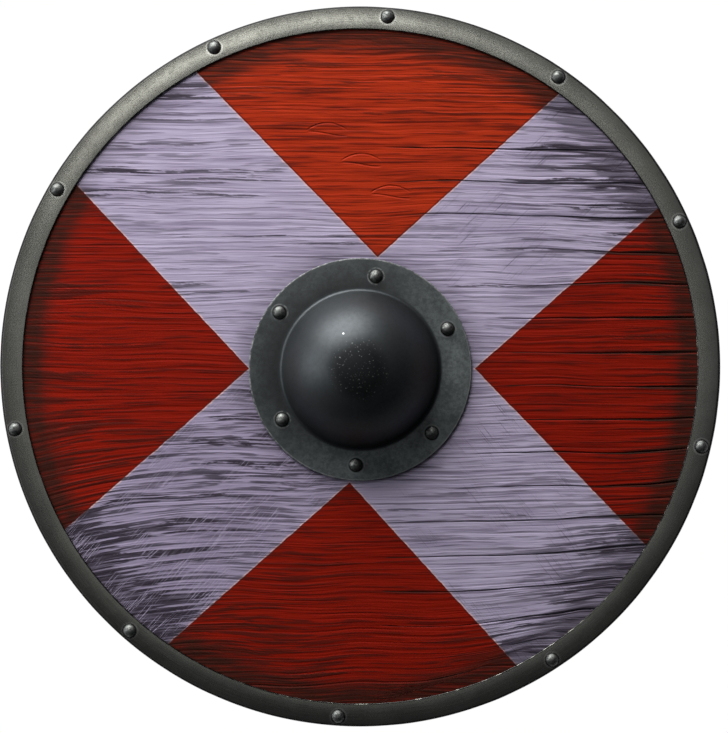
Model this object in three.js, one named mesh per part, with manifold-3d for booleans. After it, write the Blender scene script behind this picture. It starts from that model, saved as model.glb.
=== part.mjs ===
// A round wooden shield with a centre grip, lying on its back with its boss up.
//
// A flat wooden disc carries a bent steel rim round its edge, held by ten domed rivets.
// A hand hole near the middle is covered by a pressed steel boss, a dome on a flat flange,
// held by six rivets. Two of them also hold the wooden grip that crosses the hole behind.
// Millimetres, +Z up. The origin is on the shield's axis, level with the grip's underside,
// which is what the shield rests on. +Y is the shield's top and +X its right, seen from the front.

import * as THREE from "three";
import { mergeVertices } from "three/addons/utils/BufferGeometryUtils.js";
import Module from "manifold-3d";

const wasm = await Module();
wasm.setup();

// ---- Driving dimensions -------------------------------------------------------------------

const SHIELD_RADIUS = 305; // over the rim
const BOARD_THICK = 12;
const EDGE_CHAMFER = 1; // on the board's rim edges and on the back of the hand hole
const EDGE_GAP = 0.3; // between the board's edge and the rim's wall

const RIM_STEEL = 1.5;
const RIM_WIDTH = 19.5; // of the flat faces, front and back
const RIM_BEND = 2.5; // outside radius of the two bends

const BOSS_STEEL = 1.6;
const BOSS_LOW = 2.5; // the boss is set this far below the shield's centre
const BOSS_FLANGE_RADIUS = 94.3;
const DOME_RADIUS = 66.5; // where the dome would meet the flange with no bend
const DOME_HEIGHT = 50; // above the flange
const DOME_BEND = 3.5; // radius of the bend between dome and flange
const HAND_HOLE_RADIUS = 62;

const GRIP_DEPTH = 20; // below the board, at the hand
const GRIP_END_DEPTH = 11;
const GRIP_WIDTH = 36;
const GRIP_WAIST = 32;
const GRIP_OVERHANG = 38; // past each of its rivets
const GRIP_HAND_HALF = 50; // half the length that keeps the full depth
const GRIP_SLOPE = 20; // length over which it thins to its ends
const GRIP_END_ROUND = 14; // length over which its ends narrow
const GRIP_END_SHARE = 0.55; // share of its width left at the tips
const GRIP_SQUARENESS = 8; // exponent of its rounded section
// Where its section is set, as shares of the slope and of the end rounding.
const GRIP_SLOPE_SHARES = [0, 0.25, 0.5, 0.75, 1];
const GRIP_TIP_SHARES = [0, 0.5, 0.85, 1];

const SHANK_RADIUS = 2;
const SHANK_HOLE_RADIUS = 2.7; // clears the shank by 0.3 at the middle of the hole's flats
const HEAD_RADIUS = 5.7;
const HEAD_HEIGHT = 3.3;
const TAIL_RADIUS = 4;
const TAIL_HEIGHT = 1.5;
const TAIL_FLAT_SHARE = 0.7; // share of the tail's radius that is hammered flat

const RIM_RIVET_CIRCLE = 296.8;
// Set by hand and uneven. Degrees, anticlockwise from +X.
const RIM_RIVET_ANGLES = [24.4, 55.6, 85.5, 114.6, 149.7, 190.3, 228.9, 266.4, 303.2, 346.8];
// Angle about the boss's centre in degrees, and distance from it.
const BOSS_RIVETS = [
  { angle: 24.8, reach: 81.5 },
  { angle: 80.4, reach: 80 },
  { angle: 144.8, reach: 83.5 },
  { angle: 212.8, reach: 78.5 },
  { angle: 267.4, reach: 81 },
  { angle: 318.4, reach: 81 },
];
const GRIP_RIVETS = [1, 4]; // the boss rivets at its top and bottom, which go through the grip

// Long splits in the face's grain, at an even pitch down the right half. They start narrow,
// clear of the boss, open towards the rim and run in under it.
const SPLIT_PITCH = 29;
const SPLIT_TOP = 186; // height of the first one above the centre
const SPLIT_COUNT = 15;
const SPLIT_WIDTH = 2.4; // at the rim
const SPLIT_DEPTH = 1.2; // at the rim
const SPLIT_NARROWEST = 0.4; // share of that width and depth where it starts
const SPLIT_BOSS_GAP = 14;
const SPLIT_UNDER_RIM = 3;
// Share of its height that a split loses on its way to the rim.
const SPLIT_DRIFT_ABOVE = 0.02;
const SPLIT_DRIFT_BELOW = 0.06;
const SPLIT_STEPS = 5;

// How finely round things are faceted.
const RING_SIDES = 88;
const RIM_BEND_STEPS = 2;
const BOSS_SIDES = 48;
const DOME_STEPS = { outside: 8, inside: 6 };
const DOME_BEND_STEPS = { outside: 3, inside: 2 };
const RIVET_SIDES = 10;
const HEAD_STEPS = 3;
const HOLE_SIDES = 6;
const GRIP_SIDES = 12;

const CUT_PAST = 1; // how far a cutter runs past what it cuts
const SAME_POINT = 1e-4; // points closer than this are one

// ---- Levels, from the underside up --------------------------------------------------------

const BACK_Z = GRIP_DEPTH; // the board's back
const FACE_Z = BACK_Z + BOARD_THICK; // the board's painted face
const RIM_BACK_Z = BACK_Z - RIM_STEEL;
const RIM_TOP_Z = FACE_Z + RIM_STEEL;
const FLANGE_TOP_Z = FACE_Z + BOSS_STEEL;
const BOARD_RADIUS = SHIELD_RADIUS - RIM_STEEL - EDGE_GAP;
const RIM_INNER_RADIUS = SHIELD_RADIUS - RIM_WIDTH;

// ---- Materials ----------------------------------------------------------------------------

const paintedWood = new THREE.MeshStandardMaterial({ color: 0x8f1f12, roughness: 0.55, metalness: 0 });
const bareWood = new THREE.MeshStandardMaterial({ color: 0x5a3a22, roughness: 0.7, metalness: 0 });
const rimSteel = new THREE.MeshStandardMaterial({ color: 0x6e706a, roughness: 0.5, metalness: 1 });
const bossSteel = new THREE.MeshStandardMaterial({ color: 0x3c4242, roughness: 0.5, metalness: 1 });
const rivetSteel = new THREE.MeshStandardMaterial({ color: 0x585b58, roughness: 0.4, metalness: 1 });

// ---- Helpers ------------------------------------------------------------------------------

// A closed geometry as a manifold-3d solid.
function solid(geometry) {
  const bare = new THREE.BufferGeometry();
  bare.setAttribute("position", geometry.getAttribute("position"));
  bare.setIndex(geometry.getIndex());
  const merged = mergeVertices(bare, SAME_POINT);
  return new wasm.Manifold(
    new wasm.Mesh({
      numProp: 3,
      vertProperties: new Float32Array(merged.getAttribute("position").array),
      triVerts: new Uint32Array(merged.getIndex().array),
    }),
  );
}

function geometryOf(manifold) {
  const mesh = manifold.getMesh();
  const geometry = new THREE.BufferGeometry();
  geometry.setAttribute("position", new THREE.BufferAttribute(mesh.vertProperties, 3));
  geometry.setIndex(new THREE.BufferAttribute(mesh.triVerts, 1));
  geometry.computeVertexNormals();
  return geometry;
}

function cutFrom(body, cutters) {
  return cutters.reduce((left, cutter) => left.subtract(cutter), body);
}

// Points at [radius, height] pairs turned about the Z axis.
function turned(profile, sides) {
  const points = profile.map(([radius, height]) => new THREE.Vector2(radius, height));
  return new THREE.LatheGeometry(points, sides).rotateX(Math.PI / 2);
}

// Points along an arc of a turned profile, angles in degrees.
function arc(centreRadius, centreHeight, radius, from, to, steps) {
  return Array.from({ length: steps + 1 }, (_, i) => {
    const angle = THREE.MathUtils.degToRad(from + ((to - from) * i) / steps);
    return [centreRadius + radius * Math.cos(angle), centreHeight + radius * Math.sin(angle)];
  });
}

function place(angleDegrees, reach, centreY = 0) {
  const angle = THREE.MathUtils.degToRad(angleDegrees);
  return new THREE.Vector2(reach * Math.cos(angle), centreY + reach * Math.sin(angle));
}

// A straight cutter down through everything, for one rivet's shank.
function shankHole({ x, y }) {
  const height = 2 * (FLANGE_TOP_Z + CUT_PAST);
  const drill = new THREE.CylinderGeometry(SHANK_HOLE_RADIUS, SHANK_HOLE_RADIUS, height, HOLE_SIDES);
  return solid(drill.rotateX(Math.PI / 2).translate(x, y, 0));
}

function named(name, geometry, material) {
  const mesh = new THREE.Mesh(geometry, material);
  mesh.name = name;
  return mesh;
}

// ---- Where the rivets are -----------------------------------------------------------------

const rimRivetPlaces = RIM_RIVET_ANGLES.map((angle) => place(angle, RIM_RIVET_CIRCLE));
const bossRivetPlaces = BOSS_RIVETS.map(({ angle, reach }) => place(angle, reach, -BOSS_LOW));
const gripRivetPlaces = GRIP_RIVETS.map((i) => bossRivetPlaces[i]);

// ---- The wooden board ---------------------------------------------------------------------

// A wedge that opens one split in the grain, following its slight drift.
function grainSplit(index) {
  const startHeight = SPLIT_TOP - SPLIT_PITCH * index;
  const clear = BOSS_FLANGE_RADIUS + SPLIT_BOSS_GAP;
  const start = SPLIT_BOSS_GAP + Math.sqrt(Math.max(0, clear ** 2 - startHeight ** 2));
  const drift = startHeight > 0 ? SPLIT_DRIFT_ABOVE : SPLIT_DRIFT_BELOW;
  const endHeight = startHeight * (1 - drift);
  const end = Math.sqrt((RIM_INNER_RADIUS + SPLIT_UNDER_RIM) ** 2 - endHeight ** 2);
  // A three-sided prism with its axis on the face and one edge straight below it.
  const wedge = new THREE.CylinderGeometry(SPLIT_DEPTH, SPLIT_DEPTH, 1, 3, SPLIT_STEPS);
  wedge.rotateZ(-Math.PI / 2).rotateX(Math.PI);
  const widthAtFace = 2 * SPLIT_DEPTH * Math.tan(Math.PI / 6);
  const widen = SPLIT_WIDTH / widthAtFace;
  const spots = wedge.getAttribute("position");
  const spot = new THREE.Vector3();
  for (let i = 0; i < spots.count; i += 1) {
    spot.fromBufferAttribute(spots, i);
    const along = spot.x + 0.5;
    const open = THREE.MathUtils.lerp(SPLIT_NARROWEST, 1, along);
    const height = startHeight * (1 - drift * along ** 2);
    const x = THREE.MathUtils.lerp(start, end, along);
    spots.setXYZ(i, x, height + spot.y * widen * open, FACE_Z + spot.z * open);
  }
  return solid(wedge);
}

function makeBoard() {
  const inside = BOARD_RADIUS - EDGE_CHAMFER;
  const disc = turned(
    [
      [0, BACK_Z],
      [inside, BACK_Z],
      [BOARD_RADIUS, BACK_Z + EDGE_CHAMFER],
      [BOARD_RADIUS, FACE_Z - EDGE_CHAMFER],
      [inside, FACE_Z],
      [0, FACE_Z],
    ],
    RING_SIDES,
  );
  const eased = HAND_HOLE_RADIUS + EDGE_CHAMFER;
  const handHole = turned(
    [
      [0, BACK_Z - CUT_PAST],
      [eased + CUT_PAST, BACK_Z - CUT_PAST],
      [HAND_HOLE_RADIUS, BACK_Z + EDGE_CHAMFER],
      [HAND_HOLE_RADIUS, FACE_Z + CUT_PAST],
      [0, FACE_Z + CUT_PAST],
    ],
    BOSS_SIDES,
  ).translate(0, -BOSS_LOW, 0);
  const holes = [...rimRivetPlaces, ...bossRivetPlaces].map(shankHole);
  const splits = Array.from({ length: SPLIT_COUNT }, (_, i) => grainSplit(i));
  const board = cutFrom(solid(disc), [solid(handHole), ...holes, ...splits]);
  return named("board", geometryOf(board), paintedWood);
}

// ---- The steel rim ------------------------------------------------------------------------

// A channel that wraps the board's edge, with its two bends rounded outside.
function makeRim() {
  const bendRadius = SHIELD_RADIUS - RIM_BEND;
  const wall = SHIELD_RADIUS - RIM_STEEL;
  const profile = [
    [RIM_INNER_RADIUS, RIM_BACK_Z],
    ...arc(bendRadius, RIM_BACK_Z + RIM_BEND, RIM_BEND, -90, 0, RIM_BEND_STEPS),
    ...arc(bendRadius, RIM_TOP_Z - RIM_BEND, RIM_BEND, 0, 90, RIM_BEND_STEPS),
    [RIM_INNER_RADIUS, RIM_TOP_Z],
    [RIM_INNER_RADIUS, FACE_Z],
    [wall, FACE_Z],
    [wall, BACK_Z],
    [RIM_INNER_RADIUS, BACK_Z],
    [RIM_INNER_RADIUS, RIM_BACK_Z],
  ];
  const channel = solid(turned(profile, RING_SIDES));
  return named("rim", geometryOf(cutFrom(channel, rimRivetPlaces.map(shankHole))), rimSteel);
}

// ---- The boss -----------------------------------------------------------------------------

// One sheet of steel: a dome, a tight bend and a flat flange. The inside keeps the sheet's
// thickness, so both faces are arcs about the same centres.
function makeBoss() {
  const domeSphere = (DOME_RADIUS ** 2 + DOME_HEIGHT ** 2) / (2 * DOME_HEIGHT);
  const sphereZ = FLANGE_TOP_Z + DOME_HEIGHT - domeSphere;
  const bendZ = FLANGE_TOP_Z + DOME_BEND;
  const bendRadius = Math.sqrt((domeSphere + DOME_BEND) ** 2 - (bendZ - sphereZ) ** 2);
  const meeting = THREE.MathUtils.radToDeg(Math.atan2(bendZ - sphereZ, bendRadius));
  const face = (offset, side) => [
    ...arc(0, sphereZ, domeSphere - offset, 90, meeting, DOME_STEPS[side]),
    ...arc(bendRadius, bendZ, DOME_BEND + offset, 180 + meeting, 270, DOME_BEND_STEPS[side]).slice(1),
  ];
  const outside = face(0, "outside");
  const inside = face(BOSS_STEEL, "inside");
  // The first point of each face is the crown, exactly on the axis.
  outside[0][0] = 0;
  inside[0][0] = 0;
  const profile = [
    ...outside,
    [BOSS_FLANGE_RADIUS, FLANGE_TOP_Z],
    [BOSS_FLANGE_RADIUS, FACE_Z],
    ...inside.reverse(),
  ];
  const shell = solid(turned(profile.reverse(), BOSS_SIDES).translate(0, -BOSS_LOW, 0));
  return named("boss", geometryOf(cutFrom(shell, bossRivetPlaces.map(shankHole))), bossSteel);
}

// ---- The grip -----------------------------------------------------------------------------

// A wooden bar from one rivet to the other: deep at the hand, thin at the ends, a little
// waisted, flat on top where it meets the board and flat below where the shield rests.
function makeGrip() {
  const [upper, lower] = gripRivetPlaces;
  const axis = upper.clone().sub(lower);
  const middle = upper.clone().add(lower).multiplyScalar(0.5);
  const half = axis.length() / 2 + GRIP_OVERHANG;

  // Distances from the middle at which the section is set.
  const slope = GRIP_SLOPE_SHARES.map((share) => GRIP_HAND_HALF + GRIP_SLOPE * share);
  const tip = GRIP_TIP_SHARES.map((share) => half - GRIP_END_ROUND * (1 - share));
  const reaches = [...slope, ...tip];
  const stations = [...reaches.map((reach) => -reach).reverse(), 0, ...reaches];

  const bar = new THREE.CylinderGeometry(1, 1, 1, GRIP_SIDES, stations.length - 1);
  bar.rotateY(Math.PI / GRIP_SIDES).rotateX(Math.PI / 2);
  // The cylinder's axis is Z now. Each ring becomes a rounded rectangle of its own size.
  const squared = (value) => Math.sign(value) * Math.abs(value) ** (2 / GRIP_SQUARENESS);
  const flat = squared(Math.cos(Math.PI / GRIP_SIDES)); // height of the section's flats
  const spots = bar.getAttribute("position");
  const spot = new THREE.Vector3();
  for (let i = 0; i < spots.count; i += 1) {
    spot.fromBufferAttribute(spots, i);
    const station = stations[Math.round((0.5 - spot.z) * (stations.length - 1))];
    const thinning = THREE.MathUtils.smoothstep(Math.abs(station) - GRIP_HAND_HALF, 0, GRIP_SLOPE);
    const intoTip = Math.max(0, 1 - (half - Math.abs(station)) / GRIP_END_ROUND);
    const narrowing = THREE.MathUtils.lerp(GRIP_END_SHARE, 1, Math.sqrt(1 - intoTip ** 2));
    const depth = THREE.MathUtils.lerp(GRIP_DEPTH, GRIP_END_DEPTH, thinning);
    const width = THREE.MathUtils.lerp(GRIP_WAIST, GRIP_WIDTH, thinning) * narrowing;
    const up = BACK_Z + (depth / 2) * (squared(spot.y) / flat - 1);
    spots.setXYZ(i, (squared(spot.x) * width) / 2, station, up);
  }
  const lean = Math.atan2(-axis.x, axis.y);
  bar.rotateZ(lean).translate(middle.x, middle.y, 0);
  return named("grip", geometryOf(cutFrom(solid(bar), gripRivetPlaces.map(shankHole))), bareWood);
}

// ---- Rivets -------------------------------------------------------------------------------

// A domed head on the front, a shank, and a tail hammered over at the back.
function makeRivet(name, { x, y }, headZ, tailZ) {
  const crown = (HEAD_RADIUS ** 2 + HEAD_HEIGHT ** 2) / (2 * HEAD_HEIGHT);
  const crownZ = headZ + HEAD_HEIGHT - crown;
  const edge = THREE.MathUtils.radToDeg(Math.asin((headZ - crownZ) / crown));
  const dome = arc(0, crownZ, crown, edge, 90, HEAD_STEPS);
  dome[0] = [HEAD_RADIUS, headZ];
  dome[dome.length - 1] = [0, headZ + HEAD_HEIGHT];
  const profile = [
    [0, tailZ - TAIL_HEIGHT],
    [TAIL_RADIUS * TAIL_FLAT_SHARE, tailZ - TAIL_HEIGHT],
    [TAIL_RADIUS, tailZ],
    [SHANK_RADIUS, tailZ],
    [SHANK_RADIUS, headZ],
    ...dome,
  ];
  return named(name, turned(profile, RIVET_SIDES).translate(x, y, 0), rivetSteel);
}

function makeRivets() {
  const gripEndZ = BACK_Z - GRIP_END_DEPTH;
  const onRim = rimRivetPlaces.map((spot, i) => makeRivet(`rim_rivet_${i + 1}`, spot, RIM_TOP_Z, RIM_BACK_Z));
  const onBoss = bossRivetPlaces.map((spot, i) => {
    const tailZ = GRIP_RIVETS.includes(i) ? gripEndZ : BACK_Z;
    return makeRivet(`boss_rivet_${i + 1}`, spot, FLANGE_TOP_Z, tailZ);
  });
  return [...onRim, ...onBoss];
}

// ---- The shield ---------------------------------------------------------------------------

const shield = new THREE.Group();
shield.name = "round_shield";
shield.add(makeBoard(), makeRim(), makeBoss(), makeGrip(), ...makeRivets());

export default shield;
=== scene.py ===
"""Dresses the round wooden shield: its carved and painted board, steel rim, boss, rivets and grip.

It is laid out as an add-on. Run as a script, it makes every piece and the stage in turn.
"""

import math

import bpy
import numpy as np
from bpy.props import FloatProperty, FloatVectorProperty, IntProperty, PointerProperty
from mathutils import Matrix, Vector


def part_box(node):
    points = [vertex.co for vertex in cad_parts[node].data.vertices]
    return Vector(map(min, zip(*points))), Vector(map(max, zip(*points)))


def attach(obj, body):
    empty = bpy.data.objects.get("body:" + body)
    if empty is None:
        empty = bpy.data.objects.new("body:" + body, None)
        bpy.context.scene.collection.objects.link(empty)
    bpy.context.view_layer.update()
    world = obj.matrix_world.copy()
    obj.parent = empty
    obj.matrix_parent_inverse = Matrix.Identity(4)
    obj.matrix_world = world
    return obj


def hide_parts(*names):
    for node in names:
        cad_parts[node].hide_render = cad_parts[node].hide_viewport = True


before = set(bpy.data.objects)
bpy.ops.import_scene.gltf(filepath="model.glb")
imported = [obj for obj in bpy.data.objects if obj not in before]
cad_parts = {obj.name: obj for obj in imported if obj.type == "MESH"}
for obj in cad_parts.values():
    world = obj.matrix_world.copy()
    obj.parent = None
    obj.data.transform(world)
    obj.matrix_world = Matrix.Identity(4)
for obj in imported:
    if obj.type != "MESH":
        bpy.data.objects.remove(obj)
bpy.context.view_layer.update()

bl_info = {
    "name": "Round shield",
    "version": (1, 0, 0),
    "blender": (4, 5, 0),
    "location": "View3D > Sidebar > Shield",
    "description": "Makes a painted round shield with a steel rim and boss around its packed frame",
    "category": "Add Mesh",
}

MM = 0.001


def power_of(name, default, description):
    """A light's power that a user may change."""
    return FloatProperty(name=name, description=description, default=default, subtype="POWER")


def length_of(name, default, description):
    """A length that a user may change, kept in metres and given in millimetres."""
    return FloatProperty(
        name=name,
        description=description,
        default=default * MM,
        subtype="DISTANCE",
        unit="LENGTH",
        precision=5,
    )


def colour_of(name, default, description):
    """A linear colour that a user may change."""
    return FloatVectorProperty(
        name=name, description=description, default=default, subtype="COLOR", size=3, min=0.0, max=1.0
    )


# ---- What the frame says --------------------------------------------------------------------

BOARD_LOW, BOARD_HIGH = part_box("board")
RIM_LOW, RIM_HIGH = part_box("rim")
BOSS_LOW, BOSS_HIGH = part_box("boss")
GRIP_LOW, GRIP_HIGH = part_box("grip")
BOARD_RADIUS = BOARD_HIGH.x
BOSS_CENTRE = (BOSS_LOW + BOSS_HIGH) / 2
BOSS_SPOT = (BOSS_CENTRE.x / MM, BOSS_CENTRE.y / MM, 0)  # in millimetres, seen from above
RIM_RIVETS = sorted(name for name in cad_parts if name.startswith("rim_rivet"))
BOSS_RIVETS = sorted(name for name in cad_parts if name.startswith("boss_rivet"))


def rivet_place(name):
    """The middle of a rivet, seen from above."""
    low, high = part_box(name)
    return Vector(((low.x + high.x) / 2, (low.y + high.y) / 2))


# ---- Sizes and colours that a user may change -------------------------------------------------


class BoardSizes(bpy.types.PropertyGroup):
    rows: IntProperty(name="Grain rows", description="Rows of faces, each along the grain", default=1050)
    columns: IntProperty(name="Columns", description="Columns of faces across the grain", default=84)
    chamfer: length_of("Back chamfer", 1.0, "Chamfer on the board's back edge")
    hole_radius: length_of("Hand hole radius", 62.0, "Radius of the hole behind the boss")
    split_pitch: length_of("Split pitch", 29.0, "Distance between the long splits on the right half")
    split_top: length_of("First split", 186.0, "Height of the first split above the middle")
    split_count: IntProperty(name="Splits", description="Number of long splits", default=15)
    split_width: length_of("Split width", 2.4, "Width of a split at the rim")
    split_depth: length_of("Split depth", 1.2, "Depth of a split at the rim")
    coarse_depth: length_of("Coarse grain", 0.42, "Depth of the carved grain lines")
    fine_depth: length_of("Fine grain", 0.16, "Depth of the finer grain lines between them")
    swell: length_of("Swell", 0.18, "Height of the soft waves in the face")


class PaintColours(bpy.types.PropertyGroup):
    # The top sector's red is lighter and more orange than the deep red: partly its paint, partly a painted
    # sheen of the light from above.
    red: colour_of("Red", (0.375, 0.027, 0.006), "Red of the top sector")
    deep_red: colour_of("Deep red", (0.225, 0.008, 0.002), "Red of the other three sectors")
    dark_red: colour_of("Dark red", (0.075, 0.003, 0.0015), "Red where it lies thin in the grain")
    white: colour_of("White", (0.43, 0.378, 0.515), "Lilac white of the saltire")
    grey: colour_of("Grey", (0.22, 0.18, 0.28), "Dirty white in the grain")
    seam: colour_of("Seam", (0.66, 0.44, 0.44), "Thick edge of the white where it meets the red")
    # Along the rim and round the boss, this wash and the brown wash below also stand for painted shade.
    wash: colour_of("Wash", (0.020, 0.015, 0.022), "Dark wash in the white's grooves and along the rim")
    brown_wash: colour_of("Brown wash", (0.016, 0.009, 0.006), "The same wash over the red")
    bare: colour_of("Bare wood", (0.115, 0.055, 0.026), "Stained wood of the back and the grip")


class SteelColours(bpy.types.PropertyGroup):
    rim: colour_of("Rim", (0.40, 0.40, 0.36), "Brushed steel of the rim")
    flange: colour_of("Flange", (0.20, 0.228, 0.232), "Worn, blackened steel of the boss's flange")
    dome: colour_of("Dome", (0.052, 0.058, 0.062), "Smooth, blackened steel of the boss's dome")
    rivet: colour_of("Rivets", (0.17, 0.178, 0.17), "Steel of the rivets")
    # Black is also painted shade: round the rivets' heads and where they meet the sheet, on the rim's outer
    # side and inner edge, and on the boss's flange by the dome. On the dome's crown it is partly a painted
    # dark reflection.
    black: colour_of("Black", (0.012, 0.013, 0.014), "Soot and oil in the corners")


class RimSizes(bpy.types.PropertyGroup):
    steel: length_of("Steel", 1.5, "Thickness of the rim's steel")
    width: length_of("Width", 19.5, "Width of its flat faces")
    bend: length_of("Bend", 2.5, "Outside radius of its bends")
    lip: length_of("Lip", 0.7, "Rounding of its cut edges")
    steps: IntProperty(name="Steps", description="Faces round the rim", default=360)


class BossSizes(bpy.types.PropertyGroup):
    steel: length_of("Steel", 1.6, "Thickness of the boss's steel")
    dome_radius: length_of("Dome radius", 66.5, "Radius where the dome would meet the flange unbent")
    bend: length_of("Bend", 3.5, "Radius of the bend between dome and flange")
    lip: length_of("Lip", 0.6, "Rounding of the flange's cut edge")
    steps: IntProperty(name="Steps", description="Faces round the boss", default=144)


class RivetSizes(bpy.types.PropertyGroup):
    shank: length_of("Shank", 2.0, "Radius of the shank")
    head: length_of("Head", 5.7, "Radius of the head")
    head_height: length_of("Head height", 3.3, "Height of the head")
    tail: length_of("Tail", 4.0, "Radius of the hammered tail")
    tail_height: length_of("Tail height", 1.5, "Height of the hammered tail")


class GripSizes(bpy.types.PropertyGroup):
    end_depth: length_of("End depth", 11.0, "Depth of the grip's thin ends")
    width: length_of("Width", 36.0, "Width at its ends")
    waist: length_of("Waist", 32.0, "Width at the hand")
    overhang: length_of("Overhang", 38.0, "Length past each rivet")
    hand_half: length_of("Hand half", 50.0, "Half the length that keeps the full depth")
    slope: length_of("Slope", 20.0, "Length over which it thins")
    end_round: length_of("End rounding", 14.0, "Length over which its ends narrow")


class StageSettings(bpy.types.PropertyGroup):
    camera_height: length_of("Camera height", 2600, "Height of the camera above the face")
    view_width: length_of("View width", 615.9, "Width of the view at the rim")
    aside: length_of("Aside", 3.2, "How far the camera stands to the right of the middle")
    key_power: power_of("Key light", 88.0, "Watts of the large low light at the top")
    fill_power: power_of("Left fill", 14.0, "Watts of the low light on the left")
    strip_power: power_of("Strip", 1.3, "Watts of the strip that the rim mirrors")
    ceiling_power: power_of("Ceiling", 0.95, "Watts of the dim light overhead")
    room_light: FloatProperty(name="Room", description="Strength of the light from all around", default=0.02)
    floor_glow: FloatProperty(name="Floor glow", description="Light that the floor gives off", default=1.0)


# ---- Mesh helpers -------------------------------------------------------------------------------


def deselect_all():
    bpy.ops.object.select_all(action="DESELECT")


def places_of(mesh):
    """All the vertices of a mesh as rows of x, y, z."""
    flat = np.empty(len(mesh.vertices) * 3)
    mesh.vertices.foreach_get("co", flat)
    return flat.reshape(-1, 3)


def move_places(mesh, places):
    mesh.vertices.foreach_set("co", places.ravel())
    mesh.update()


def store(mesh, name, values):
    """Keeps one number for each vertex, which a finish can read."""
    attribute = mesh.attributes.new(name, "FLOAT", "POINT")
    attribute.data.foreach_set("value", values.astype(np.float32))


def smooth(obj, degrees):
    deselect_all()
    obj.select_set(True)
    bpy.context.view_layer.objects.active = obj
    bpy.ops.object.shade_smooth_by_angle(angle=math.radians(degrees))


def dress(obj, finish, slot, *nodes):
    """Gives a finished piece its material, hides the parts that it stands for, and puts it under the root."""
    if not obj.data.materials:
        obj.data.materials.append(finish)
    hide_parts(*nodes)
    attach(obj, "root")


def spun(name, profile, centre, steps):
    """Draws a closed outline of [radius, height] points by extruding, and spins it about Z."""
    deselect_all()
    start = Vector((profile[0][0], 0, profile[0][1]))
    bpy.ops.mesh.primitive_plane_add(size=0.001, location=(0, 0, 0))
    obj = bpy.context.object
    obj.name = name
    bpy.ops.object.mode_set(mode="EDIT")
    bpy.ops.mesh.select_all(action="SELECT")
    bpy.ops.mesh.merge(type="CENTER")
    bpy.ops.transform.translate(value=start)
    here = start
    for radius, height in profile[1:]:
        there = Vector((radius, 0, height))
        bpy.ops.mesh.extrude_vertices_move(TRANSFORM_OT_translate={"value": there - here})
        here = there
    bpy.ops.mesh.select_all(action="SELECT")
    bpy.ops.mesh.spin(steps=steps, angle=math.tau, center=(0, 0, 0), axis=(0, 0, 1))
    bpy.ops.mesh.select_all(action="SELECT")
    bpy.ops.mesh.remove_doubles(threshold=0.00001)
    bpy.ops.mesh.normals_make_consistent(inside=False)
    bpy.ops.transform.translate(value=(centre[0], centre[1], 0))
    bpy.ops.object.mode_set(mode="OBJECT")
    return obj


def arc(centre_radius, centre_height, radius, start, end, steps):
    """Points [radius, height] along an arc, with its angles in degrees."""
    points = []
    for i in range(steps + 1):
        angle = math.radians(start + (end - start) * i / steps)
        points.append((centre_radius + radius * math.cos(angle), centre_height + radius * math.sin(angle)))
    return points


def lattice_noise(x, y, seed):
    """Smooth noise from -1 to 1 whose waves are about one unit long each way."""
    table = np.random.default_rng(seed).uniform(-1, 1, (256, 256))
    column = np.floor(x).astype(int)
    row = np.floor(y).astype(int)
    across = x - column
    up = y - row
    across = across * across * (3 - 2 * across)
    up = up * up * (3 - 2 * up)

    def corner(i, j):
        return table[(row + j) % 256, (column + i) % 256]

    lower = corner(0, 0) * (1 - across) + corner(1, 0) * across
    upper = corner(0, 1) * (1 - across) + corner(1, 1) * across
    return lower * (1 - up) + upper * up


def smoothstep(low, high, value):
    t = np.clip((value - low) / (high - low), 0, 1)
    return t * t * (3 - 2 * t)


# ---- The carved face ----------------------------------------------------------------------------

# How the grain runs. Heights and distances here are in millimetres.
SPLIT_BOSS_GAP = 14  # from the boss's flange to where a split starts
SPLIT_DRIFT_ABOVE = 0.02  # share of its height that a split loses on its way to the rim
SPLIT_DRIFT_BELOW = 0.06
SPLIT_NARROWEST = 0.4
SPLIT_UNDER_RIM = 3
ARCH_MIDDLE = -110  # the grain arches over here, low on the left
ARCH_CURVE = 0.00085
WANDER = 2.2
GRAIN_ROUNDS = 12  # enough for the place of a grain line to settle


def split_span(grain):
    """Where a split at this height starts and ends."""
    clear = (BOSS_HIGH.x - BOSS_CENTRE.x) / MM + SPLIT_BOSS_GAP
    start = SPLIT_BOSS_GAP + np.sqrt(np.maximum(0, clear**2 - grain**2))
    inner = RIM_HIGH.x / MM - bpy.context.scene.shield_rim.width / MM
    end = np.sqrt(np.maximum(1, (inner + SPLIT_UNDER_RIM) ** 2 - grain**2))
    return start, np.maximum(end, start + 1)


def grain_bend(x, grain):
    """How far above its own height a grain line runs at x."""
    start, end = split_span(grain)
    along = np.clip((x - start) / (end - start), 0, 1)
    drift = np.where(grain > 0, SPLIT_DRIFT_ABOVE, SPLIT_DRIFT_BELOW)
    right = -grain * drift * along**2
    low_left = smoothstep(0, -90, x) * smoothstep(-10, -90, grain)
    arch = -ARCH_CURVE * (x - ARCH_MIDDLE) ** 2 * low_left
    wander = WANDER * lattice_noise(x / 75, grain / 26, 11) + 0.5 * lattice_noise(x / 28, grain / 11, 12)
    return right + arch + wander


def grain_at(x, y):
    """The grain line that passes through a place on the face."""
    grain = y.copy()
    for _ in range(GRAIN_ROUNDS):
        grain = y - grain_bend(x, grain)
    return grain


def grain_lines(x, grain, spacing, width, seed):
    """1 in the middle of carved lines along the grain that come and go, 0 between them."""
    phase = grain / spacing + 0.45 * lattice_noise(grain / (3.1 * spacing), grain * 0, seed)
    number = np.round(phase)
    reach = np.abs(phase - number) * spacing
    presence = lattice_noise(x / 62 + number * 3.7, number * 1.37, seed + 1)
    presence = np.clip(0.42 + 0.95 * presence, 0, 1)
    own = 0.55 + 0.45 * lattice_noise(number * 0.77, number * 0.31, seed + 2)
    return (1 - smoothstep(0, width / 2, reach)) * presence * own


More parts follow.
